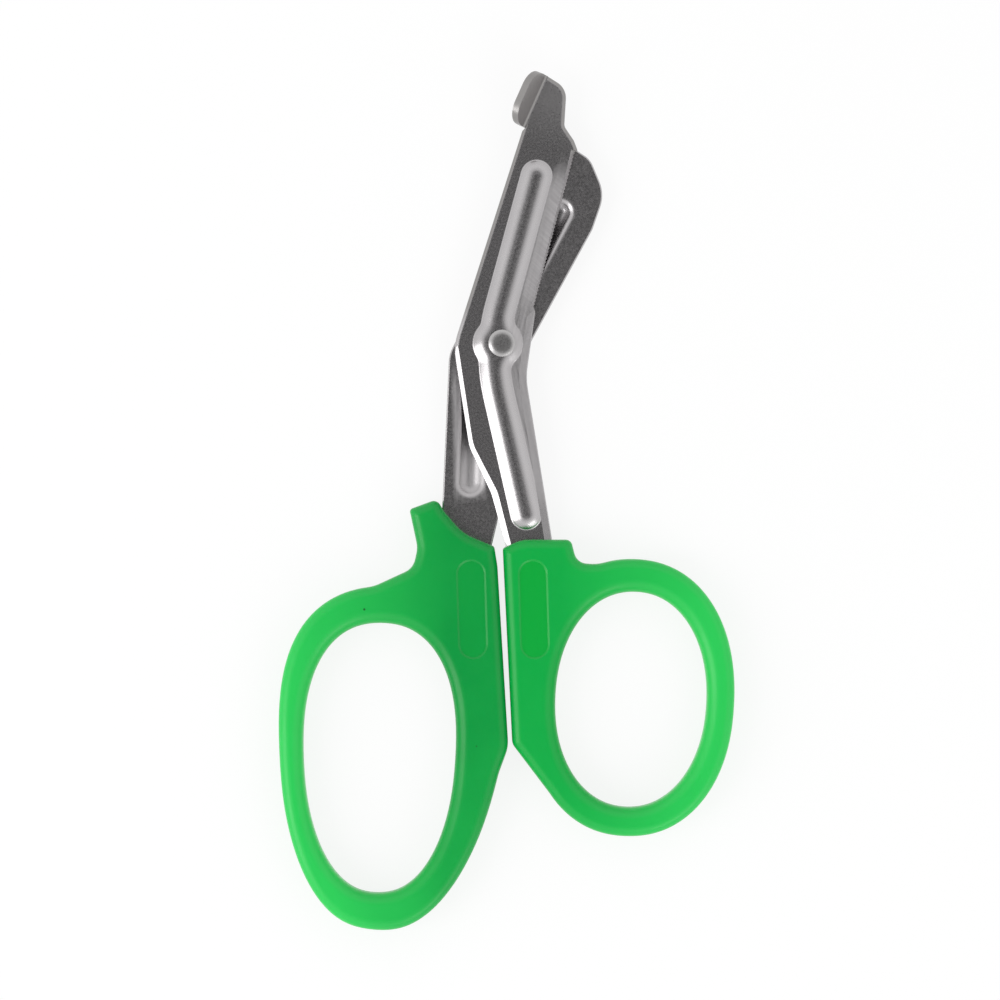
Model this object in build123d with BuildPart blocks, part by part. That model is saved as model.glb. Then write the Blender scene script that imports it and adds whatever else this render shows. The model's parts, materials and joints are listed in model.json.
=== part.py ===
"""Bandage scissors: two pressed steel blades on a rivet, each with a moulded plastic loop handle."""

import os
from math import copysign, cos, pi, radians, sin, tan

from build123d import *

os.makedirs("parts", exist_ok=True)

# Sizes are in millimetres and angles in degrees. Outlines are drawn from the pivot, with directions
# clockwise from +Y: the blades point to +Y, the handles to -Y, and the scissors lie flat on z = 0.
# A corner of an outline is a point and its rounding radius.

# Place of the pivot in the part's frame
pivot_x = -1.01
pivot_y = 34.69

# Stack of sheet and handles
handle_thickness = 9.0
sheet = 1.6
blade_gap = 0.1
edge_round = 0.9
burr_round = 0.35

# Ribs pressed into both blades
rib_height = 1.3
rib_half_width = 3.45
rib_wall_angle = 52.0
rib_crest_radius = 4.6
rib_root_radius = 0.5
rib_pad_radius = 5.5
rib_pad_offset = -0.9
rib_pad_blend = 3.0

# Rivet
shank_radius = 2.0
running_clearance = 0.05
head_radius = 3.0
head_rim = 0.25
head_height = 1.1

# Cutting edges
front_hone_width = 0.95
back_hone_width = 2.8
edge_land = 0.15
overcut = 0.6
shoulder_run = 0.95
shoulder_step = 0.6
blank_foot_radius = 12.0
blank_point_radius = 2.0
serration_pitch = 0.8
serration_depth = 0.22

# Front blade
front_edge_angle = 14.8
front_edge_offset = 4.78
front_edge_start = 9.4
front_edge_end = 45.3
front_spine_angle = 17.7
front_spine_offset = -10.0
front_spine_end = 46.0
front_tip_corners = [((15.85, 44.8), 2.0), ((13.75, 47.9), 2.0), ((14.25, 56.3), 4.0)]
front_tang_left = [((-10.7, -0.6), 12.0), ((-7.3, -22.8), 9.0), ((-2.3, -33.2), 9.0), ((1.1, -45.8), 4.0)]
front_tang_right = [((11.4, -45.4), 4.0), ((5.3, -7.5), 16.0)]
front_rib_angle = 15.0
front_rib_offset = -2.2
front_rib_end = 37.7
front_rib_bend = (-2.9, -1.6)
front_rib_bend_radius = 40.0
front_rib_foot = (5.35, -37.7)

# Slopes rolled and ground into the front blade's outer face
front_slope_angle = 12.0
front_slope_width = 3.2
front_slope_foot = 7.0
front_slope_low = 12.0
front_slope_high = 35.0
front_slope_faded = 0.02
right_roll_width = 1.7
right_roll_angle = 12.0
right_roll_end = 20.0
left_roll_width = 1.2
left_roll_angle = 27.0
left_roll_path = [(-11.6, 4.0), (-7.5, -22.8), (-2.1, -33.2), (1.1, -45.8)]
left_roll_bend_radius = 9.0

# Safety tip folded up from the front blade
fold_start = (5.14, 47.55)
fold_angle = 24.0
fold_length = 12.4
fold_lean = 62.0
fold_radius = 0.8
flange_width = 4.8
flange_toe_radius = 4.4
flange_head_radius = 4.0

# Back blade
back_edge_angle = 31.7
back_edge_offset = -9.27
back_edge_start = 6.0
back_edge_end = 40.5
back_spine_angle = 28.8
back_spine_offset = 5.45
back_spine_start = 3.4
back_spine_foot_radius = 6.0
back_tip_corners = [((15.7, 43.2), 1.5), ((19.5, 40.7), 5.0), ((22.7, 33.0), 8.0), ((20.0, 25.2), 5.0)]
back_tang_right = [((3.9, -4.6), 8.0), ((2.6, -20.0), 20.0), ((-1.0, -39.5), 6.0), ((-2.6, -46.0), 4.0)]
back_tang_left = [((-13.3, -38.5), 4.0), ((-11.7, -2.4), 8.0)]
back_rib_angle = 28.2
back_rib_offset = -2.54
back_rib_end = 31.5
back_rib_bend = (-5.95, -5.7)
back_rib_bend_radius = 25.0
back_rib_foot = (-7.1, -30.8)

# Tangs and the pins of plastic through them
tang_end = -62.0
tang_half_width = 3.6
tang_end_radius = 2.0
front_tang_axis = 6.7
back_tang_axis = -5.9
anchor_radius = 1.5
anchor_first = -50.5
anchor_spacing = 6.5
anchor_count = 2

# Both handles
outer_round = 2.2
hole_round = 2.8
recess_depth = 0.25
recess_draft = 60.0
recess_width = 6.6
recess_length = 22.0
recess_top = -47.6
recess_lean = 1.7
oval_points = 24

# Thumb handle
thumb_hole_center = (28.47, -78.57)
thumb_hole_half_width = 16.7
thumb_hole_half_length = 23.78
thumb_hole_tilt = -2.7
thumb_hole_fullness = 2.11
thumb_wall_side = 6.2
thumb_wall_end = 6.76
thumb_ring_shift = (-0.15, 0.45)
thumb_ring_tilt = -2.14
thumb_ring_fullness = 2.18
thumb_neck = [
    ((0.15, -45.2), 0.8),
    ((2.25, -88.3), 3.0),
    ((10.5, -99.2), 0),
    (thumb_hole_center, 0),
    ((24.5, -49.1), 0),
    ((16.5, -48.4), 3.0),
    ((15.2, -43.3), 1.5),
    ((4.2, -43.3), 8.0),
]
thumb_upper_blend = 10.0
thumb_lower_blend = 12.0
thumb_recess_x = 7.0

# Finger handle
finger_hole_center = (-27.07, -91.46)
finger_hole_half_width = 16.74
finger_hole_half_length = 29.79
finger_hole_tilt = -0.87
finger_hole_fullness = 2.27
finger_hole_egg = 0.085
finger_wall_side = 7.67
finger_wall_end = 8.07
finger_ring_shift = (2.24, -0.09)
finger_ring_tilt = -5.58
finger_ring_fullness = 2.43
finger_ring_egg = 0.208
finger_side_top = (-1.0, -49.2)
finger_side_foot = (1.4, -89.0)
finger_neck = [
    ((-20.4, -36.6), 0.8),
    ((-14.4, -34.4), 1.6),
    ((-12.7, -37.2), 6.0),
    ((-8.6, -41.9), 10.0),
    ((-1.7, -44.8), 0.8),
    (finger_side_top, 8.0),
    (finger_side_foot, 8.0),
    ((-5.2, -107.0), 0),
    (finger_hole_center, 0),
    ((-30.0, -54.4), 0),
    ((-19.6, -49.6), 4.0),
    ((-18.6, -45.1), 6.0),
]
finger_upper_blend = 10.0
finger_lower_blend = 10.0
finger_recess_x = -6.6

# Heights and radii worked out from the sizes above
middle = handle_thickness / 2
front_inner = middle + blade_gap / 2
front_outer = front_inner + sheet
front_crest = front_outer + rib_height
front_seat = front_crest + running_clearance
back_inner = middle - blade_gap / 2
back_outer = back_inner - sheet
back_crest = back_outer - rib_height
rib_wall_run = sheet * tan(radians((90 - rib_wall_angle) / 2))
dome_height = head_height - head_rim
dome_radius = (head_radius**2 + dome_height**2) / (2 * dome_height)
nearly = 1e-3


def level(z):
    """Horizontal sketch plane at height z with its origin on the pivot."""
    return Plane(origin=(pivot_x, pivot_y, z))


def ray(angle, along, across=0.0):
    """Point at a distance along a ray from the pivot, moved across to its right."""
    turn = radians(angle)
    return (along * sin(turn) + across * cos(turn), along * cos(turn) - across * sin(turn))


def shifted(point, step):
    """Point moved by a step."""
    return (point[0] + step[0], point[1] + step[1])


def halfway(a, b):
    """Point halfway between two points."""
    return ((a[0] + b[0]) / 2, (a[1] + b[1]) / 2)


def oval(center, half_width, half_length, tilt, fullness, egg=0.0):
    """Points of a full rounded oval, wider towards its upper end by the egg share."""
    lean = radians(tilt)
    points = []
    for step in range(oval_points):
        turn = 2 * pi * step / oval_points
        rise = copysign(abs(sin(turn)) ** (2 / fullness), sin(turn))
        reach = copysign(abs(cos(turn)) ** (2 / fullness), cos(turn)) * (1 + egg * rise)
        u = half_width * reach
        v = half_length * rise
        points.append(shifted(center, (u * cos(lean) - v * sin(lean), u * sin(lean) + v * cos(lean))))
    return points


def outline(corners):
    """Closed line with its corners rounded."""
    points = [corner[0] for corner in corners]
    radii = [corner[1] for corner in corners]
    return FilletPolyline(*points, radius=radii, close=True)


def edges_at(part, z):
    """Edges of a part that lie at a height."""
    return part.edges().filter_by_position(Axis.Z, z - nearly, z + nearly)


def flat_at(part, z):
    """Largest flat face of a part at a height."""
    flats = part.faces().filter_by(Plane.XY).filter_by_position(Axis.Z, z - nearly, z + nearly)
    return flats.sort_by(SortBy.AREA)[-1]


def draw_rib(path, inset):
    """Rib along a path, widened to a round pad under the rivet head, drawn smaller by an inset."""
    SlotArc(path, 2 * (rib_half_width - inset))
    with Locations((rib_pad_offset, 0)):
        Circle(rib_pad_radius - inset)
    # Grown and shrunk again, which rounds the corners between the rib and its pad
    offset(amount=rib_pad_blend)
    offset(amount=-rib_pad_blend)


def press_rib(part, path, inner, outer, side):
    """Rib pressed out of the sheet: a boss on the outer face over a hollow of the same wall."""
    with BuildSketch(level(outer)) as boss:
        draw_rib(path, 0.0)
    extrude(boss.sketch, amount=side * rib_height, taper=rib_wall_angle)
    fillet(edges_at(part, outer + side * rib_height), rib_crest_radius)
    fillet(flat_at(part, outer).inner_wires()[0].edges(), rib_root_radius)
    with BuildSketch(level(inner)) as hollow:
        draw_rib(path, rib_wall_run)
    extrude(hollow.sketch, amount=side * rib_height, taper=rib_wall_angle, mode=Mode.SUBTRACT)
    fillet(edges_at(part, inner + side * rib_height), rib_crest_radius - sheet)
    fillet(flat_at(part, inner).inner_wires()[0].edges(), rib_root_radius + sheet)


def round_rim(part, z, radius, sharp_points=()):
    """Rounds the sheet's rim on one face apart from any stretches through the given points."""
    sharp = [Vector(pivot_x + x, pivot_y + y, z) for x, y in sharp_points]
    rim = flat_at(part, z).outer_wire().edges()
    fillet([e for e in rim if all(e.distance_to(p) > nearly for p in sharp)], radius)


def across(angle, along, offset, z):
    """Upright plane across a cutting edge, with its origin on the edge line and its x axis to the right."""
    turn = radians(angle)
    x, y = ray(angle, along, offset)
    return Plane(
        origin=(pivot_x + x, pivot_y + y, z),
        x_dir=(cos(turn), -sin(turn), 0),
        z_dir=(-sin(turn), -cos(turn), 0),
    )


def grind_edge(angle, offset, start, end, inner, side, width, teeth=0):
    """Grinds a cutting edge: trims the blank to the edge line, with any fine teeth, and hones it to a land."""
    outside = offset + side * 2 * shoulder_step
    trim = [ray(angle, end, offset), ray(angle, end, outside), ray(angle, start - 2 * shoulder_run, outside)]
    for tooth in range(teeth):
        near_end = start + tooth * serration_pitch
        trim.append(ray(angle, near_end, offset))
        trim.append(ray(angle, near_end + serration_pitch / 2, offset - side * serration_depth))
    trim.append(ray(angle, start + teeth * serration_pitch, offset))
    with BuildSketch(level(inner)) as waste:
        Polygon(*trim, align=None)
    extrude(waste.sketch, amount=side * sheet, mode=Mode.SUBTRACT)
    slope = (sheet - edge_land) / width
    high = side * (sheet + overcut * slope)
    with BuildSketch(across(angle, end, offset, inner)) as wedge:
        Polygon(
            (-side * (width + overcut), high),
            (side * overcut, side * (edge_land - overcut * slope)),
            (side * overcut, high),
            align=None,
        )
    extrude(wedge.sketch, amount=end - start, mode=Mode.SUBTRACT)


def draw_roll(width, depth):
    """Section of a slope that falls to the right to a depth at the rim, drawn from the sheet's outer face."""
    low = -depth * (1 + overcut / width)
    Polygon((-width, 0), (overcut, low), (overcut, overcut), (-width, overcut), align=None)


def grind_slope(angle, offset, outer):
    """Wide shallow slope between the rib and the front cutting edge, faded out at both ends."""
    full = front_slope_width * tan(radians(front_slope_angle))
    sections = []
    for along, depth in (
        (front_edge_end, front_slope_faded),
        (front_slope_high, full),
        (front_slope_low, full),
        (front_slope_foot, front_slope_faded),
    ):
        with BuildSketch(across(angle, along, offset, outer)) as section:
            draw_roll(front_slope_width, depth)
        sections.append(section.sketch)
    loft(sections, ruled=True, mode=Mode.SUBTRACT)


def roll_rim(points, bend_radii, width, angle, outer):
    """Slope along a rim, which lies to the right of the path through some points."""
    with BuildLine(level(outer)) as run:
        FilletPolyline(*points, radius=bend_radii)
    path = run.wire()
    ahead = path % 0
    with BuildSketch(Plane(origin=path @ 0, x_dir=(ahead.Y, -ahead.X, 0), z_dir=-ahead)) as section:
        draw_roll(width, width * tan(radians(angle)))
    sweep(section.sketch, path=path, mode=Mode.SUBTRACT)


def drill(points, radius, low, high):
    """Round holes between two heights."""
    with BuildSketch(level(low)) as holes:
        with Locations(*points):
            Circle(radius)
    extrude(holes.sketch, amount=high - low, mode=Mode.SUBTRACT)


def anchors(axis):
    """Centres of the holes that plastic fills in a tang."""
    return [(axis, anchor_first - anchor_spacing * i) for i in range(anchor_count)]


def join_neck(sketch, neck, upper_blend, lower_blend):
    """Joins a neck to the ring already in the sketch and rounds its corners."""
    Polygon(*[corner[0] for corner in neck], align=None)
    places = [Vector(*corner[0]) for corner in neck]
    joins = [v for v in sketch.vertices() if min((Vector(v) - p).length for p in places) > nearly]
    joins.sort(key=lambda v: v.Y)
    fillet(joins[-1], upper_blend)
    fillet(sketch.vertices().sort_by_distance(joins[0])[0], lower_blend)
    for place, radius in neck:
        if radius:
            fillet(sketch.vertices().sort_by_distance(Vector(*place))[0], radius)


def finish_handle(part, hole, recess_x, blade):
    """Rounds a handle, opens its loop, sinks its oval recess and seats the blade's tang in it."""
    for z in (0, handle_thickness):
        fillet(edges_at(part, z), outer_round)
    with BuildSketch(level(0)) as loop:
        with BuildLine():
            Spline(*hole, periodic=True)
        make_face()
    extrude(loop.sketch, amount=handle_thickness, mode=Mode.SUBTRACT)
    for z in (0, handle_thickness):
        fillet(flat_at(part, z).inner_wires()[0].edges(), hole_round)
    with BuildSketch(level(handle_thickness)) as recess:
        with Locations((recess_x, recess_top - recess_length / 2)):
            SlotOverall(recess_length, recess_width, rotation=90 + recess_lean)
    extrude(recess.sketch, amount=-recess_depth, taper=recess_draft, mode=Mode.SUBTRACT)
    add(blade.part, mode=Mode.SUBTRACT)


front_blank_offset = front_edge_offset + shoulder_step
front_blank_foot = ray(front_edge_angle, front_edge_start - shoulder_run, front_blank_offset)
front_blank_point = ray(front_edge_angle, front_edge_end, front_blank_offset)
front_spine_top = ray(front_spine_angle, front_spine_end, front_spine_offset)
fold_end = shifted(fold_start, ray(fold_angle, fold_length))
back_blank_offset = back_edge_offset - shoulder_step
back_blank_foot = ray(back_edge_angle, back_edge_start - shoulder_run, back_blank_offset)
back_blank_point = ray(back_edge_angle, back_edge_end, back_blank_offset)
back_spine_foot = ray(back_spine_angle, back_spine_start, back_spine_offset)
front_rib_path = FilletPolyline(
    ray(front_rib_angle, front_rib_end, front_rib_offset),
    front_rib_bend,
    front_rib_foot,
    radius=front_rib_bend_radius,
)
back_rib_path = FilletPolyline(
    ray(back_rib_angle, back_rib_end, back_rib_offset),
    back_rib_bend,
    back_rib_foot,
    radius=back_rib_bend_radius,
)

with BuildPart() as front_blade:
    with BuildSketch(level(front_inner)):
        with BuildLine():
            outline(
                [
                    (front_spine_top, 0),
                    *front_tang_left,
                    ((front_tang_axis - tang_half_width, tang_end), tang_end_radius),
                    ((front_tang_axis + tang_half_width, tang_end), tang_end_radius),
                    *front_tang_right,
                    (front_blank_foot, blank_foot_radius),
                    (front_blank_point, blank_point_radius),
                    *front_tip_corners,
                    (fold_end, 0),
                    (fold_start, 0),
                ]
            )
        make_face()
    extrude(amount=sheet)
    press_rib(front_blade, front_rib_path, front_inner, front_outer, 1)
    fold_stretches = [halfway(fold_start, fold_end), halfway(fold_start, front_spine_top)]
    round_rim(front_blade, front_outer, edge_round, fold_stretches)
    front_teeth = int((front_edge_end - front_edge_start) / serration_pitch)
    grind_edge(
        front_edge_angle,
        front_edge_offset,
        front_edge_start,
        front_edge_end,
        front_inner,
        1,
        front_hone_width,
        front_teeth,
    )
    grind_slope(front_edge_angle, front_edge_offset, front_outer)
    right_roll_path = [
        front_tang_right[0][0],
        front_tang_right[1][0],
        front_blank_foot,
        ray(front_edge_angle, right_roll_end, front_blank_offset),
    ]
    right_bends = [front_tang_right[1][1], blank_foot_radius]
    roll_rim(right_roll_path, right_bends, right_roll_width, right_roll_angle, front_outer)
    roll_rim(left_roll_path, left_roll_bend_radius, left_roll_width, left_roll_angle, front_outer)

    # Safety tip: the sheet bent up and outward along the fold
    lean = radians(fold_lean)
    turn = radians(fold_angle)
    fold_plane = Plane(
        origin=(pivot_x + fold_start[0], pivot_y + fold_start[1], front_outer),
        x_dir=(-cos(turn), sin(turn), 0),
        z_dir=(sin(turn), cos(turn), 0),
    )
    under_radius = fold_radius + sheet
    upper_bend_end = (fold_radius * sin(lean), fold_radius * (1 - cos(lean)))
    under_bend_end = (under_radius * sin(lean), fold_radius - under_radius * cos(lean))
    reach = (flange_width * cos(lean), flange_width * sin(lean))
    with BuildSketch(fold_plane):
        with BuildLine():
            Line((0, 0), (0, -sheet))
            RadiusArc((0, -sheet), under_bend_end, -under_radius)
            Line(under_bend_end, shifted(under_bend_end, reach))
            free_edge = Line(shifted(under_bend_end, reach), shifted(upper_bend_end, reach))
            Line(shifted(upper_bend_end, reach), upper_bend_end)
            RadiusArc(upper_bend_end, (0, 0), fold_radius)
        make_face()
    extrude(amount=fold_length)
    free_middle = free_edge @ 0.5
    for along, radius in ((0, flange_toe_radius), (fold_length, flange_head_radius)):
        corner = fold_plane.from_local_coords((free_middle.X, free_middle.Y, along))
        fillet(front_blade.edges().sort_by_distance(corner)[0], radius)

    drill([(0, 0)], shank_radius + running_clearance, front_inner, front_crest)
    drill(anchors(front_tang_axis), anchor_radius, front_inner, front_outer)
front_blade.part.label = "front_blade"
export_step(front_blade.part, "parts/front_blade.step")

with BuildPart() as back_blade:
    with BuildSketch(level(back_inner)):
        with BuildLine():
            outline(
                [
                    (back_blank_foot, blank_foot_radius),
                    (back_blank_point, blank_point_radius),
                    *back_tip_corners,
                    (back_spine_foot, back_spine_foot_radius),
                    *back_tang_right,
                    ((back_tang_axis + tang_half_width, tang_end), tang_end_radius),
                    ((back_tang_axis - tang_half_width, tang_end), tang_end_radius),
                    *back_tang_left,
                ]
            )
        make_face()
    extrude(amount=-sheet)
    press_rib(back_blade, back_rib_path, back_inner, back_outer, -1)
    round_rim(back_blade, back_outer, edge_round)
    round_rim(back_blade, back_inner, burr_round)
    grind_edge(
        back_edge_angle, back_edge_offset, back_edge_start, back_edge_end, back_inner, -1, back_hone_width
    )
    drill([(0, 0)], shank_radius, back_crest, back_inner)
    drill(anchors(back_tang_axis), anchor_radius, back_outer, back_inner)
back_blade.part.label = "back_blade"
export_step(back_blade.part, "parts/back_blade.step")

with BuildPart() as pivot_rivet:
    with BuildSketch(Plane(origin=(pivot_x, pivot_y, 0), x_dir=(1, 0, 0), z_dir=(0, -1, 0))):
        with BuildLine():
            Line((0, back_crest - head_height), (0, front_seat + head_height))
            RadiusArc((0, front_seat + head_height), (head_radius, front_seat + head_rim), dome_radius)
            Polyline(
                (head_radius, front_seat + head_rim),
                (head_radius, front_seat),
                (shank_radius, front_seat),
                (shank_radius, back_crest),
                (head_radius, back_crest),
                (head_radius, back_crest - head_rim),
            )
            RadiusArc((head_radius, back_crest - head_rim), (0, back_crest - head_height), dome_radius)
        make_face()
    revolve(axis=Axis((pivot_x, pivot_y, 0), (0, 0, 1)))
pivot_rivet.part.label = "pivot_rivet"
export_step(pivot_rivet.part, "parts/pivot_rivet.step")

with BuildPart() as thumb_handle:
    with BuildSketch(level(0)) as thumb_outline:
        with BuildLine():
            thumb_ring = oval(
                shifted(thumb_hole_center, thumb_ring_shift),
                thumb_hole_half_width + thumb_wall_side,
                thumb_hole_half_length + thumb_wall_end,
                thumb_ring_tilt,
                thumb_ring_fullness,
            )
            Spline(*thumb_ring, periodic=True)
        make_face()
        join_neck(thumb_outline, thumb_neck, thumb_upper_blend, thumb_lower_blend)
    extrude(amount=handle_thickness)
    thumb_hole = oval(
        thumb_hole_center, thumb_hole_half_width, thumb_hole_half_length, thumb_hole_tilt, thumb_hole_fullness
    )
    finish_handle(thumb_handle, thumb_hole, thumb_recess_x, front_blade)
thumb_handle.part.label = "thumb_handle"
export_step(thumb_handle.part, "parts/thumb_handle.step")

with BuildPart() as finger_handle:
    with BuildSketch(level(0)) as finger_outline:
        with BuildLine():
            finger_ring = oval(
                shifted(finger_hole_center, finger_ring_shift),
                finger_hole_half_width + finger_wall_side,
                finger_hole_half_length + finger_wall_end,
                finger_ring_tilt,
                finger_ring_fullness,
                finger_ring_egg,
            )
            Spline(*finger_ring, periodic=True)
        make_face()
        # The ring is cut back to the straight side that closes against the other handle
        clear_x = thumb_hole_center[0]
        Polygon(
            finger_side_top,
            finger_side_foot,
            (clear_x, finger_side_foot[1]),
            (clear_x, finger_side_top[1]),
            align=None,
            mode=Mode.SUBTRACT,
        )
        join_neck(finger_outline, finger_neck, finger_upper_blend, finger_lower_blend)
    extrude(amount=handle_thickness)
    finger_hole = oval(
        finger_hole_center,
        finger_hole_half_width,
        finger_hole_half_length,
        finger_hole_tilt,
        finger_hole_fullness,
        finger_hole_egg,
    )
    finish_handle(finger_handle, finger_hole, finger_recess_x, back_blade)
finger_handle.part.label = "finger_handle"
export_step(finger_handle.part, "parts/finger_handle.step")
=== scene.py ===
"""Looks of the bandage scissors: satin steel blades, a polished rivet and green handles on a white table."""

import json
from math import cos, pi, radians, sin, sqrt

import bmesh
import bpy
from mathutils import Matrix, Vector


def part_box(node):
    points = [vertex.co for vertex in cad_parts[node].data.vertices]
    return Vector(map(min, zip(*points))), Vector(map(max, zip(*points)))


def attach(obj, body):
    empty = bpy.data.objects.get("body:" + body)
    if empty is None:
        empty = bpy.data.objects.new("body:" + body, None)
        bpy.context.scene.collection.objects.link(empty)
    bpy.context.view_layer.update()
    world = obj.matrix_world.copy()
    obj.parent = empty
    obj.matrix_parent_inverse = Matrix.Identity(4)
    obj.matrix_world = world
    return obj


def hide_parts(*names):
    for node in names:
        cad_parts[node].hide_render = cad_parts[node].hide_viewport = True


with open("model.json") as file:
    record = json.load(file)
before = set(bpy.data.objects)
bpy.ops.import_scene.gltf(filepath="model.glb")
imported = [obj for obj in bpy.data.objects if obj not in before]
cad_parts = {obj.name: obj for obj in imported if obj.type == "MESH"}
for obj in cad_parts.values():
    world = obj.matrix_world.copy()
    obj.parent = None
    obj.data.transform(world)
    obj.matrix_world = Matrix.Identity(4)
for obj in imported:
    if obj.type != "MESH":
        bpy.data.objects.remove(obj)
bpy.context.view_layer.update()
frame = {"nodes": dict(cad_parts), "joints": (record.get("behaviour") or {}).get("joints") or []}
nodes = frame["nodes"]

# Lengths are in metres and angles in degrees
MM = 0.001

# Camera straight above, with the photograph's scale and centre
PIXELS_PER_MM = 4.53
IMAGE_PIXELS = 1000
VIEW_CENTRE = (-1.45 * MM, 0.14 * MM)
VIEW_HEIGHT = 1.2
MIDDLE_HEIGHT = 5.0 * MM
SENSOR_WIDTH = 36.0
CLIP_END = 20

# Noise is scaled in features a metre, and its useful values lie in this range
NOISE_RANGE = (0.3, 0.7)

# Satin steel: tone and grain, the depth of the grain, and how far it changes the roughness
BLADE_ROUGHNESS = 0.26
RIVET_ROUGHNESS = 0.30
CLOUD_SCALE = 90
GRAIN_SCALE = 2600
GRAIN_HEIGHT = 0.005 * MM
GRAIN_ROUGHNESS = (-0.04, 0.05)

# Ground strips beside the cutting edges, seen from the pivot: angle clockwise from +Y, offset to the right,
# width inwards, and where the grinding starts and ends along the edge
PIVOT = Vector(frame["joints"][0]["pos_m"])
FRONT_EDGE = {"angle": 14.8, "offset": 4.78 * MM, "width": -3.2 * MM, "start": 8.0 * MM, "end": 45.3 * MM}
BACK_EDGE = {"angle": 31.7, "offset": -9.27 * MM, "width": 2.8 * MM, "start": 6.0 * MM, "end": 40.5 * MM}
GRIND_FADE = 8 * MM
GRIND_INNER = (1.0, 0.8)
MARK_SLANT = 0.5
MARK_STRETCH = 0.06
MARK_SCALE = 1800
MARK_HEIGHT = 0.016 * MM
MARK_TONE = 0.6

# Paler, rougher steel towards the tip of the blade
TIP_START = 44.0 * MM
TIP_LENGTH = 10.0 * MM
TIP_TONE = 0.5
WORKED_ROUGHNESS = 0.05

# Brushed sides, seen from the pivot: a bend, the turns of the two lines that meet there, where the side
# starts and ends to the right of those lines, and its lowest and highest points
FRONT_BRUSHED = {
    "bend": (-2.9 * MM, -1.6 * MM),
    "turns": (15.0, 167.1),
    "from": 3.2 * MM,
    "to": 20 * MM,
    "low": -37 * MM,
    "high": 40 * MM,
}
BACK_BRUSHED = {
    "bend": (-10.8 * MM, -29.9 * MM),
    "turns": (-1.1, 178.9),
    "from": 0.2 * MM,
    "to": 7.2 * MM,
    "low": -35.5 * MM,
    "high": -4 * MM,
}
BRUSH_EDGE = 0.4 * MM
BRUSH_FADE_LOW = 4 * MM
BRUSH_FADE_HIGH = 6 * MM
BRUSH_STRETCH = 0.04
BRUSH_SCALE = 1500
BRUSH_ROUGHNESS = (0.08, 0.28)

# Painted shade on the rims of the front blade, which are also a little rougher: all of the tip, and the left
# side above the pivot.
# A rim is where the surface turns from facing up, by the upward part of its normal
RIM_SIDE = -6.9 * MM
RIM_SIDE_FADE = 0.2 * MM
RIM_LOW = 4.0 * MM
RIM_LOW_FADE = 2 * MM
RIM_TIP_FADE = 1 * MM
RIM_UPRIGHT = (0.995, 0.95)
RIM_ROUGHNESS = 0.04

# Rivet: rim, dome and shank, with the crown of each head flattened out to a radius
HEAD_RIM = 0.25 * MM
HEAD_HEIGHT = 1.1 * MM
SHANK_RADIUS = 2.0 * MM
CROWN_RADIUS = 2.15 * MM
CROWN_SOFTNESS = 0.35 * MM
RIM_ROUND = 0.1 * MM
RIM_STEPS = 4
PROFILE_STEPS = 24
LATHE_STEPS = 96
ON_AXIS = 1e-7
SHARP_ANGLE = 50

# Handles: x of the neck's axis from the pivot, about which the painted shade over the tang lies, x and y of
# the oval recess's middle, and the strength of the recess's painted shade
THUMB_NECK = {"x": 7.0 * MM, "recess": (7.0 * MM, -58.6 * MM), "shade": 0.8}
FINGER_NECK = {"x": -6.0 * MM, "recess": (-6.6 * MM, -58.6 * MM), "shade": 0.15}
RECESS_HALF_STRAIGHT = 7.7 * MM
RECESS_RADIUS = 3.3 * MM
RECESS_LEAN = 1.7
RECESS_FADE = (0.1 * MM, -0.6 * MM)
# Painted light in the ring grows from the neck's edge out to this reach
NECK_HALF_WIDTH = 6 * MM
RING_REACH = 40 * MM
PARTING_HEIGHT = 4.5 * MM
PARTING_WIDTH = 0.12 * MM
PARTING_DEPTH = 0.06 * MM

# The recess's painted shade lies on the handle's upper side alone, above these heights
RECESS_HEIGHTS = (2 * PARTING_HEIGHT - 1 * MM, 2 * PARTING_HEIGHT - 0.9 * MM)

# Plastic: painted light, paler towards the foot of the ring, and paler and deeper in random clouds, with a
# fine skin and rare specks
FOOT_LIGHT = (-85 * MM, -125 * MM)
FOOT_LIGHT_SHARE = 0.3
CLOUD_SHARE = 0.06
LIT_PALE_RANGE = (-0.05, 1)
PLASTIC_CLOUD_SCALE = 60
PLASTIC_CLOUD_HEIGHT = 0.03 * MM
SKIN_SCALE = 1500
SKIN_HEIGHT = 0.002 * MM
PLASTIC_ROUGHNESS = (0.29, 0.36)
SPECK_CELLS = 160.0
SPECK_SIZE = (0.05, 0.03)
SPECK_RARE = (0.76, 0.77)
SUBSURFACE_RADIUS = (0.3, 1.0, 0.4)
SUBSURFACE_SCALE = 1.2 * MM
SUBSURFACE_WEIGHT = 0.15
PLASTIC_IOR = 1.49
PLASTIC_SPECULAR = 0.3

# Colours are linear
STEEL_LIGHT = (0.50, 0.485, 0.49, 1)
STEEL_DARK = (0.42, 0.405, 0.412, 1)
# Painted shade for the front blade's rims
STEEL_RIM_SHADE = (0.30, 0.29, 0.285, 1)
RIVET_LIGHT = (0.48, 0.47, 0.47, 1)
RIVET_DARK = (0.42, 0.41, 0.41, 1)
# The deep greens are painted shade over the tang, the finger's deeper than the thumb's, and the pale green is
# painted light through the thin ring
THUMB_SHADED_DEEP = (0.001, 0.37, 0.054, 1)
FINGER_SHADED_DEEP = (0.001, 0.295, 0.047, 1)
GREEN_LIT_PALE = (0.023, 0.575, 0.095, 1)
# Painted shade inside the recess
GREEN_RECESS_SHADE = (0.0005, 0.37, 0.038, 1)
SPECK = (0.01, 0.09, 0.02, 1)
FLOOR_WHITE = (0.93, 0.93, 0.93, 1)
FLOOR_SHADE = (0.91, 0.91, 0.91, 1)

# Floor: a disc, and the share of plain white that the camera and reflections see in it
FLOOR_RADIUS = 4.0
FLOOR_SIDES = 96
FLOOR_SCALE = 30
FLOOR_ROUGHNESS = 0.9
FLOOR_SPECULAR = 0.1
FLOOR_GLOW = 0.85

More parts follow.
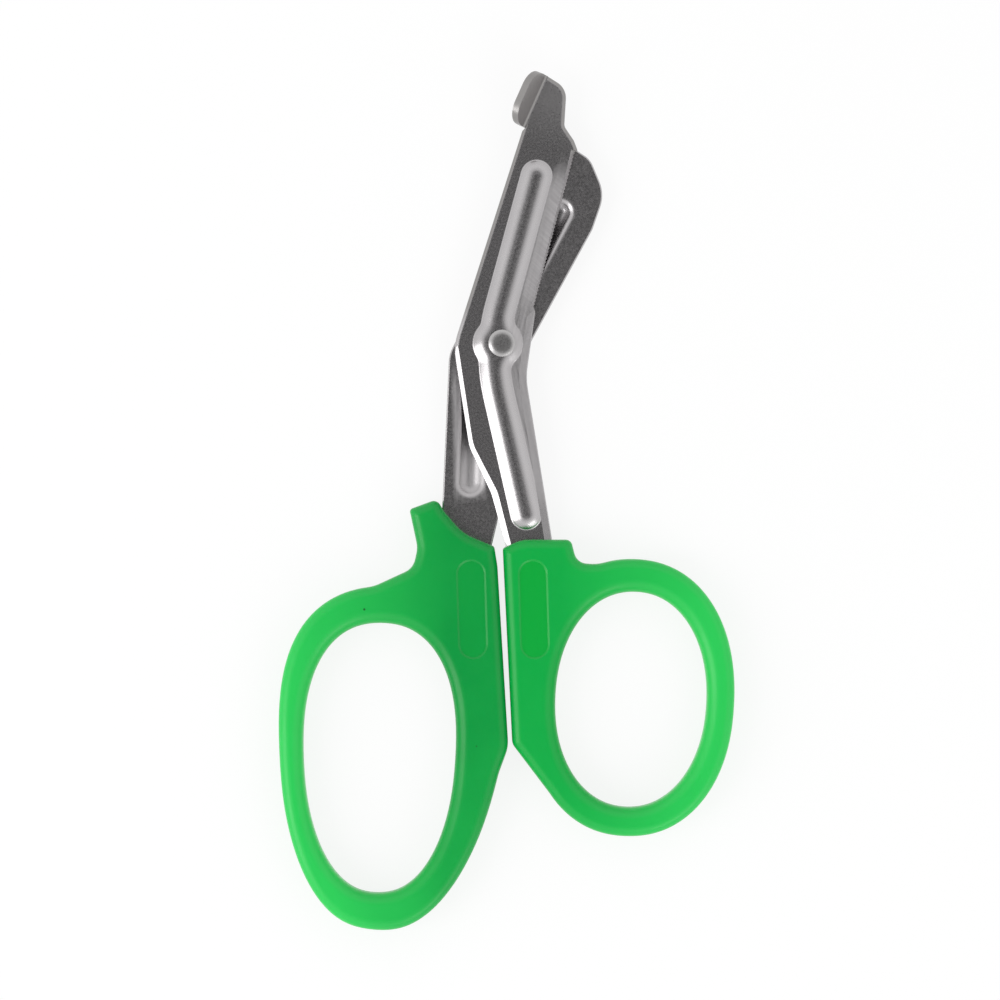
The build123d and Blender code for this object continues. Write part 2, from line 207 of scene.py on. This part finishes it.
# Sky: dark overhead, where the camera hangs, and bright all round, by the upward part of the direction
SKY = (
    (0.0, 0.95),
    (0.26, 0.98),
    (0.5, 1.08),
    (0.707, 1.1),
    (0.866, 0.8),
    (0.914, 0.52),
    (0.94, 0.32),
    (0.97, 0.15),
    (0.985, 0.10),
    (1.0, 0.09),
)

# Soft lamps round the scissors, with azimuths clockwise from +Y
LAMP_DISTANCE = 1.1
LEFT_LAMP = {"azimuth": 253, "elevation": 37, "width": 0.45, "height": 0.9, "radiance": 3.0}
RIGHT_LAMP = {"azimuth": 147, "elevation": 32, "width": 0.7, "height": 0.35, "radiance": 2.0}


def add(tree, kind, inputs=None, **settings):
    """New node with its settings, and its inputs set or linked."""
    made = tree.nodes.new(kind)
    for key, value in settings.items():
        setattr(made, key, value)
    for key, value in (inputs or {}).items():
        feed(tree, made.inputs[key], value)
    return made


def feed(tree, socket, value):
    """Links an output to a socket, or sets a plain value there."""
    if isinstance(value, bpy.types.NodeSocket):
        tree.links.new(value, socket)
    else:
        socket.default_value = value


def start_material(name):
    """New material; returns it with its tree, its Principled shader and object coordinates."""
    material = bpy.data.materials.new(name)
    material.use_nodes = True
    tree = material.node_tree
    shader = tree.nodes["Principled BSDF"]
    place = add(tree, "ShaderNodeTexCoord").outputs["Object"]
    return material, tree, shader, place


def noise(tree, place, scale, detail=2.0):
    """Grey noise with about this many features a metre."""
    inputs = {"Vector": place, "Scale": scale, "Detail": detail}
    return add(tree, "ShaderNodeTexNoise", inputs).outputs["Fac"]


def remap(tree, value, from_low, from_high, to_low=0, to_high=1):
    """Value moved from one range to another and held within it."""
    inputs = {
        "Value": value,
        "From Min": from_low,
        "From Max": from_high,
        "To Min": to_low,
        "To Max": to_high,
    }
    return add(tree, "ShaderNodeMapRange", inputs).outputs["Result"]


def blend(tree, share, low, high):
    """Colour between two colours."""
    mixed = add(tree, "ShaderNodeMix", data_type="RGBA")
    for key, value in (("A", low), ("B", high)):
        feed(tree, next(s for s in mixed.inputs if s.name == key and s.type == "RGBA"), value)
    tree.links.new(share, mixed.inputs["Factor"])
    return next(s for s in mixed.outputs if s.type == "RGBA")


def math(tree, operation, first, second=0):
    """One step of arithmetic."""
    made = add(tree, "ShaderNodeMath", operation=operation)
    for socket, value in zip(made.inputs, (first, second)):
        feed(tree, socket, value)
    return made.outputs["Value"]


def times(tree, first, second):
    """Product of two values."""
    return math(tree, "MULTIPLY", first, second)


def plus(tree, first, second):
    """Sum of two values."""
    return math(tree, "ADD", first, second)


def minus(tree, first, second):
    """Difference of two values."""
    return math(tree, "SUBTRACT", first, second)


def bump(tree, height, distance, below=None):
    """Bump of a real height, on top of another one."""
    inputs = {"Height": height, "Strength": 1.0, "Distance": distance}
    if below:
        inputs["Normal"] = below
    return add(tree, "ShaderNodeBump", inputs).outputs["Normal"]


def dot(tree, place, direction):
    """Length of a place along a direction."""
    made = add(tree, "ShaderNodeVectorMath", {0: place, 1: direction}, operation="DOT_PRODUCT")
    return made.outputs["Value"]


def offset(tree, place, start):
    """Place as seen from a start."""
    return add(tree, "ShaderNodeVectorMath", {0: place, 1: start}, operation="SUBTRACT").outputs[0]


def pair(tree, x, y):
    """Vector of two values."""
    return add(tree, "ShaderNodeCombineXYZ", {"X": x, "Y": y}).outputs[0]


def steel(name, light, dark, roughness, edge=None, brushed=None, shaded_rims=False):
    """Satin steel with a fine grain; a blade adds an edge's grinding marks, a brushed side and painted shade
    on slightly rougher rims.
    """
    material, tree, shader, place = start_material(name)
    cloud = noise(tree, place, CLOUD_SCALE, 3)
    grain = noise(tree, place, GRAIN_SCALE, 3)
    tone = plus(tree, times(tree, cloud, 0.5), times(tree, grain, 0.5))
    rough = remap(tree, grain, *NOISE_RANGE, *(roughness + change for change in GRAIN_ROUGHNESS))
    normal = bump(tree, grain, GRAIN_HEIGHT)
    if edge:
        turn = radians(edge["angle"])
        from_pivot = offset(tree, place, PIVOT)
        across = dot(tree, from_pivot, (cos(turn), -sin(turn), 0))
        along = dot(tree, from_pivot, (sin(turn), cos(turn), 0))
        depth = math(tree, "DIVIDE", minus(tree, across, edge["offset"]), edge["width"])
        ground = remap(tree, depth, *GRIND_INNER)
        ground = times(tree, ground, remap(tree, along, edge["start"], edge["start"] + GRIND_FADE / 2))
        ground = times(tree, ground, remap(tree, along, edge["end"], edge["end"] - GRIND_FADE))
        slant = plus(tree, along, times(tree, across, MARK_SLANT))
        marks = noise(tree, pair(tree, slant, times(tree, across, MARK_STRETCH)), MARK_SCALE, 3)
        normal = bump(tree, times(tree, marks, ground), MARK_HEIGHT, normal)
        mark_tone = remap(tree, marks, *NOISE_RANGE, -MARK_TONE, MARK_TONE)
        tone = plus(tree, tone, times(tree, ground, mark_tone))
        tip = remap(tree, along, TIP_START, TIP_START + TIP_LENGTH)
        tone = plus(tree, tone, times(tree, tip, TIP_TONE))
        rough = plus(tree, rough, times(tree, plus(tree, ground, tip), WORKED_ROUGHNESS))
    if brushed:
        from_bend = offset(tree, place, PIVOT + Vector((*brushed["bend"], 0)))
        upper, lower = (radians(turn) for turn in brushed["turns"])
        upper_side = dot(tree, from_bend, (cos(upper), -sin(upper), 0))
        lower_side = dot(tree, from_bend, (-cos(lower), sin(lower), 0))
        beside = math(tree, "MINIMUM", upper_side, lower_side)
        height = dot(tree, from_pivot, (0, 1, 0))
        zone = remap(tree, beside, brushed["from"] - BRUSH_EDGE, brushed["from"] + BRUSH_EDGE)
        for value, start, end in (
            (beside, brushed["to"] + BRUSH_EDGE, brushed["to"] - BRUSH_EDGE),
            (height, brushed["low"], brushed["low"] + BRUSH_FADE_LOW),
            (height, brushed["high"], brushed["high"] - BRUSH_FADE_HIGH),
        ):
            zone = times(tree, zone, remap(tree, value, start, end))
        lines = noise(tree, pair(tree, beside, times(tree, height, BRUSH_STRETCH)), BRUSH_SCALE, 3)
        streaks = remap(tree, lines, *NOISE_RANGE, *BRUSH_ROUGHNESS)
        rough = plus(tree, rough, times(tree, zone, streaks))
    color = blend(tree, tone, dark, light)
    if shaded_rims:
        facing = add(tree, "ShaderNodeTexCoord").outputs["Normal"]
        upright = math(tree, "ABSOLUTE", dot(tree, facing, (0, 0, 1)))
        side = remap(tree, across, RIM_SIDE + RIM_SIDE_FADE, RIM_SIDE - RIM_SIDE_FADE)
        side = times(tree, side, remap(tree, along, RIM_LOW - RIM_LOW_FADE, RIM_LOW + RIM_LOW_FADE))
        top = remap(tree, along, TIP_START - RIM_TIP_FADE, TIP_START + RIM_TIP_FADE)
        rim_shade = times(tree, math(tree, "MAXIMUM", side, top), remap(tree, upright, *RIM_UPRIGHT))
        # Painted shade: the rims darken where the surface turns from facing up
        color = blend(tree, rim_shade, color, STEEL_RIM_SHADE)
        rough = plus(tree, rough, times(tree, rim_shade, RIM_ROUGHNESS))
    tree.links.new(color, shader.inputs["Base Color"])
    tree.links.new(rough, shader.inputs["Roughness"])
    tree.links.new(normal, shader.inputs["Normal"])
    shader.inputs["Metallic"].default_value = 1.0
    return material


def recess_shade_share(tree, x, y, z, neck):
    """Share of the recess's painted shade: an oval on the neck's upper side that leans a little."""
    lean = radians(RECESS_LEAN)
    from_x = minus(tree, x, PIVOT.x + neck["recess"][0])
    from_y = minus(tree, y, PIVOT.y + neck["recess"][1])
    across = plus(tree, times(tree, from_x, cos(lean)), times(tree, from_y, sin(lean)))
    along = minus(tree, times(tree, from_y, cos(lean)), times(tree, from_x, sin(lean)))
    past_end = minus(tree, math(tree, "ABSOLUTE", along), RECESS_HALF_STRAIGHT)
    spread = pair(tree, across, math(tree, "MAXIMUM", past_end))
    reach = add(tree, "ShaderNodeVectorMath", {0: spread}, operation="LENGTH").outputs["Value"]
    start, end = (RECESS_RADIUS + fade for fade in RECESS_FADE)
    inside = remap(tree, reach, start, end, 0, neck["shade"])
    return times(tree, inside, remap(tree, z, *RECESS_HEIGHTS))


def plastic(name, shaded_deep, neck):
    """Semi-gloss moulded plastic with a few dark specks, with painted shade over the tang, painted light out
    in the ring and painted shade in the recess.
    """
    material, tree, shader, place = start_material(name)
    cloud = noise(tree, place, PLASTIC_CLOUD_SCALE, 3)
    skin = noise(tree, place, SKIN_SCALE, 2)
    x, y, z = add(tree, "ShaderNodeSeparateXYZ", {"Vector": place}).outputs
    # Painted light: paler away from the neck's axis and towards the foot of the ring, with random clouds
    off_axis = math(tree, "ABSOLUTE", minus(tree, x, PIVOT.x + neck["x"]))
    lit_and_clouded = remap(tree, off_axis, NECK_HALF_WIDTH, RING_REACH)
    foot_start, foot_end = (PIVOT.y + height for height in FOOT_LIGHT)
    lit_and_clouded = plus(tree, lit_and_clouded, remap(tree, y, foot_start, foot_end, 0, FOOT_LIGHT_SHARE))
    lit_and_clouded = plus(tree, lit_and_clouded, remap(tree, cloud, *NOISE_RANGE, -CLOUD_SHARE, CLOUD_SHARE))
    recess = recess_shade_share(tree, x, y, z, neck)

    cells = add(tree, "ShaderNodeTexVoronoi", {"Vector": place, "Scale": SPECK_CELLS, "Randomness": 1.0})
    rare = add(tree, "ShaderNodeSeparateColor", {"Color": cells.outputs["Color"]}).outputs["Red"]
    dots = remap(tree, cells.outputs["Distance"], *SPECK_SIZE)
    speck = times(tree, dots, remap(tree, rare, *SPECK_RARE))

    # Painted shade over the tang, painted light in the ring
    green = blend(tree, remap(tree, lit_and_clouded, *LIT_PALE_RANGE), shaded_deep, GREEN_LIT_PALE)
    # Painted shade inside the recess
    green = blend(tree, recess, green, GREEN_RECESS_SHADE)
    tree.links.new(blend(tree, speck, green, SPECK), shader.inputs["Base Color"])
    tree.links.new(remap(tree, skin, *NOISE_RANGE, *PLASTIC_ROUGHNESS), shader.inputs["Roughness"])

    from_parting = math(tree, "ABSOLUTE", minus(tree, z, PARTING_HEIGHT))
    waves = bump(tree, cloud, PLASTIC_CLOUD_HEIGHT)
    seam = bump(tree, remap(tree, from_parting, PARTING_WIDTH, 0), PARTING_DEPTH, waves)
    tree.links.new(bump(tree, skin, SKIN_HEIGHT, seam), shader.inputs["Normal"])
    shader.inputs["Subsurface Weight"].default_value = SUBSURFACE_WEIGHT
    shader.inputs["Subsurface Radius"].default_value = SUBSURFACE_RADIUS
    shader.inputs["Subsurface Scale"].default_value = SUBSURFACE_SCALE
    shader.inputs["IOR"].default_value = PLASTIC_IOR
    shader.inputs["Specular IOR Level"].default_value = PLASTIC_SPECULAR
    return material


def paint(node, material):
    """Gives a CAD node one material in all its slots."""
    slots = nodes[node].material_slots
    for slot in slots:
        slot.material = material
    if not slots:
        nodes[node].data.materials.append(material)


front_finish = steel("front_steel", STEEL_LIGHT, STEEL_DARK, BLADE_ROUGHNESS, FRONT_EDGE, FRONT_BRUSHED, True)
back_finish = steel("back_steel", STEEL_LIGHT, STEEL_DARK, BLADE_ROUGHNESS, BACK_EDGE, BACK_BRUSHED)
rivet_finish = steel("rivet_steel", RIVET_LIGHT, RIVET_DARK, RIVET_ROUGHNESS)
paint("front_blade", front_finish)
paint("back_blade", back_finish)
paint("pivot_rivet", rivet_finish)
paint("thumb_handle", plastic("thumb_plastic", THUMB_SHADED_DEEP, THUMB_NECK))
paint("finger_handle", plastic("finger_plastic", FINGER_SHADED_DEEP, FINGER_NECK))


def head_profile(radius, seat, up):
    """Radius and height from a head's middle to its seat: a dome with a soft flat crown and a rounded rim."""
    rise = HEAD_HEIGHT - HEAD_RIM
    sphere = (radius**2 + rise**2) / (2 * rise)
    crown = HEAD_HEIGHT - sphere + sqrt(sphere**2 - CROWN_RADIUS**2)
    points = []
    for step in range(PROFILE_STEPS + 1):
        r = (radius - RIM_ROUND) * step / PROFILE_STEPS
        dome = HEAD_HEIGHT - sphere + sqrt(sphere**2 - r**2)
        points.append((r, (dome + crown - sqrt((dome - crown) ** 2 + CROWN_SOFTNESS**2)) / 2))
    top = points[-1][1]
    for step in range(1, RIM_STEPS + 1):
        turn = step / RIM_STEPS * pi / 2
        points.append((radius - RIM_ROUND + RIM_ROUND * sin(turn), top - RIM_ROUND + RIM_ROUND * cos(turn)))
    points.append((radius, 0))
    return [(r, seat + up * h) for r, h in points]


def lathe(name, profile):
    """Closed solid of revolution on the pivot axis from a profile that starts and ends on it."""
    mesh = bmesh.new()
    turns = [2 * pi * step / LATHE_STEPS for step in range(LATHE_STEPS)]
    rings = []
    for r, z in profile:
        if r < ON_AXIS:
            rings.append([mesh.verts.new((PIVOT.x, PIVOT.y, z))])
            continue
        rings.append([mesh.verts.new((PIVOT.x + r * cos(t), PIVOT.y + r * sin(t), z)) for t in turns])
    for upper, lower in zip(rings, rings[1:]):
        for step in range(LATHE_STEPS):
            after = (step + 1) % LATHE_STEPS
            if len(upper) == 1:
                mesh.faces.new((upper[0], lower[step], lower[after]))
            elif len(lower) == 1:
                mesh.faces.new((lower[0], upper[after], upper[step]))
            else:
                mesh.faces.new((upper[step], lower[step], lower[after], upper[after]))
    bmesh.ops.recalc_face_normals(mesh, faces=mesh.faces)
    data = bpy.data.meshes.new(name)
    mesh.to_mesh(data)
    mesh.free()
    data.shade_smooth()
    data.set_sharp_from_angle(angle=radians(SHARP_ANGLE))
    made = bpy.data.objects.new(name, data)
    bpy.context.scene.collection.objects.link(made)
    return made


# Rivet with pressed crowns, in the place of the plain one
low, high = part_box("pivot_rivet")
head_radius = (high.x - low.x) / 2
front_head = head_profile(head_radius, high.z - HEAD_HEIGHT, 1)
back_head = head_profile(head_radius, low.z + HEAD_HEIGHT, -1)
shank = [(SHANK_RADIUS, front_head[-1][1]), (SHANK_RADIUS, back_head[-1][1])]
rivet = lathe("pressed_rivet", front_head + shank + back_head[::-1])
rivet.data.materials.append(rivet_finish)
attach(rivet, "finger_half")
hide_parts("pivot_rivet")

# Floor
bpy.ops.mesh.primitive_circle_add(
    vertices=FLOOR_SIDES, radius=FLOOR_RADIUS, fill_type="TRIFAN", location=(0, 0, 0)
)
floor = bpy.context.object
floor.name = "floor"
material, tree, shader, place = start_material("white_table")
floor_color = blend(tree, noise(tree, place, FLOOR_SCALE), FLOOR_SHADE, FLOOR_WHITE)
tree.links.new(floor_color, shader.inputs["Base Color"])
shader.inputs["Roughness"].default_value = FLOOR_ROUGHNESS
shader.inputs["Specular IOR Level"].default_value = FLOOR_SPECULAR
rays = add(tree, "ShaderNodeLightPath").outputs
seen = math(tree, "MAXIMUM", rays["Is Camera Ray"], rays["Is Glossy Ray"])
seen = math(tree, "MAXIMUM", seen, rays["Is Transmission Ray"])
glow = add(tree, "ShaderNodeEmission", {"Strength": 1.0}).outputs[0]
share = times(tree, seen, FLOOR_GLOW)
mixed = add(tree, "ShaderNodeMixShader", {0: share, 1: shader.outputs[0], 2: glow}).outputs[0]
tree.links.new(mixed, tree.nodes["Material Output"].inputs["Surface"])
floor.data.materials.append(material)

# World with the sky
world = bpy.data.worlds.new("studio")
bpy.context.scene.world = world
world.use_nodes = True
tree = world.node_tree
direction = add(tree, "ShaderNodeTexCoord").outputs["Generated"]
upward = add(tree, "ShaderNodeSeparateXYZ", {"Vector": direction}).outputs["Z"]
ramp = add(tree, "ShaderNodeFloatCurve", {"Value": upward})
curve = ramp.mapping.curves[0]
ramp.mapping.use_clip = False
while len(curve.points) < len(SKY):
    curve.points.new(0.5, 0.5)
for point, (at, value) in zip(curve.points, SKY):
    point.location = (at, value)
    point.handle_type = "VECTOR"
ramp.mapping.update()
tree.links.new(ramp.outputs["Value"], tree.nodes["Background"].inputs["Strength"])
tree.nodes["Background"].inputs["Color"].default_value = (1, 1, 1, 1)


def softbox(name, azimuth, elevation, width, height, radiance):
    """Soft lamp aimed at the middle of the scissors."""
    a, e = radians(azimuth), radians(elevation)
    lamp = bpy.data.lights.new(name, "AREA")
    lamp.shape = "RECTANGLE"
    lamp.size = width
    lamp.size_y = height
    lamp.energy = radiance * pi * width * height
    made = bpy.data.objects.new(name, lamp)
    bpy.context.scene.collection.objects.link(made)
    place = Vector((sin(a) * cos(e), cos(a) * cos(e), sin(e))) * LAMP_DISTANCE
    made.location = place
    made.rotation_euler = (-place).to_track_quat("-Z", "Y").to_euler()
    made.visible_camera = False


softbox("left_softbox", **LEFT_LAMP)
softbox("right_softbox", **RIGHT_LAMP)

# Camera
camera_data = bpy.data.cameras.new("camera")
camera = bpy.data.objects.new("camera", camera_data)
bpy.context.scene.collection.objects.link(camera)
bpy.context.scene.camera = camera
camera.location = (*VIEW_CENTRE, VIEW_HEIGHT)
camera_data.sensor_width = SENSOR_WIDTH
view_width = IMAGE_PIXELS / PIXELS_PER_MM * MM
camera_data.lens = SENSOR_WIDTH * (VIEW_HEIGHT - MIDDLE_HEIGHT) / view_width
camera_data.clip_end = CLIP_END

bpy.context.scene.view_settings.view_transform = "Standard"
